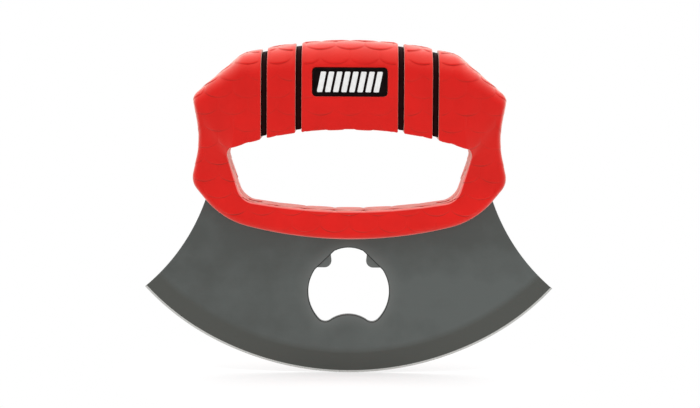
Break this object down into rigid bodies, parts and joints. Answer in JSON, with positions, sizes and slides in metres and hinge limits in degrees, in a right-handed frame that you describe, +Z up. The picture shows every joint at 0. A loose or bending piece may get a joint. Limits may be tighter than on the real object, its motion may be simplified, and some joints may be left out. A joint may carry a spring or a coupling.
{
  "type": "ulu knife",
  "caption": "Rocking ulu knife: crescent blade with a bottle-opener cut-out under a closed loop handle in soft red rubber with dark stripes over a hard core.",
  "frame": {"origin": "lowest point of the cutting edge, on the blade's middle plane, where the knife rocks on the board", "axes": "+X along the blade from its left tip to its right tip as seen from the front, +Y through the blade from the badge side to the back, +Z up from the edge to the grip"},
  "size_m": [0.1524, 0.028, 0.1243],
  "materials": {
    "coated_steel": "satin dark grey coating, bare at the edge",
    "rivet_steel": "plain",
    "core_plastic": "matte",
    "grip_rubber": "matte, moulded scale texture",
    "badge_plastic": "satin"
  },
  "bodies": {
    "root": {"blade": "coated_steel", "tang_rivet_left_corner": "rivet_steel", "tang_rivet_left_bar": "rivet_steel", "tang_rivet_right_bar": "rivet_steel", "tang_rivet_right_corner": "rivet_steel", "grip_rivet_left": "rivet_steel", "grip_rivet_centre": "rivet_steel", "grip_rivet_right": "rivet_steel", "core_front": "core_plastic", "core_back": "core_plastic", "grip_frame": "grip_rubber", "grip_band_left": "grip_rubber", "grip_centre": "grip_rubber", "grip_band_right": "grip_rubber", "badge": "badge_plastic"}
  },
  "joints": []
}
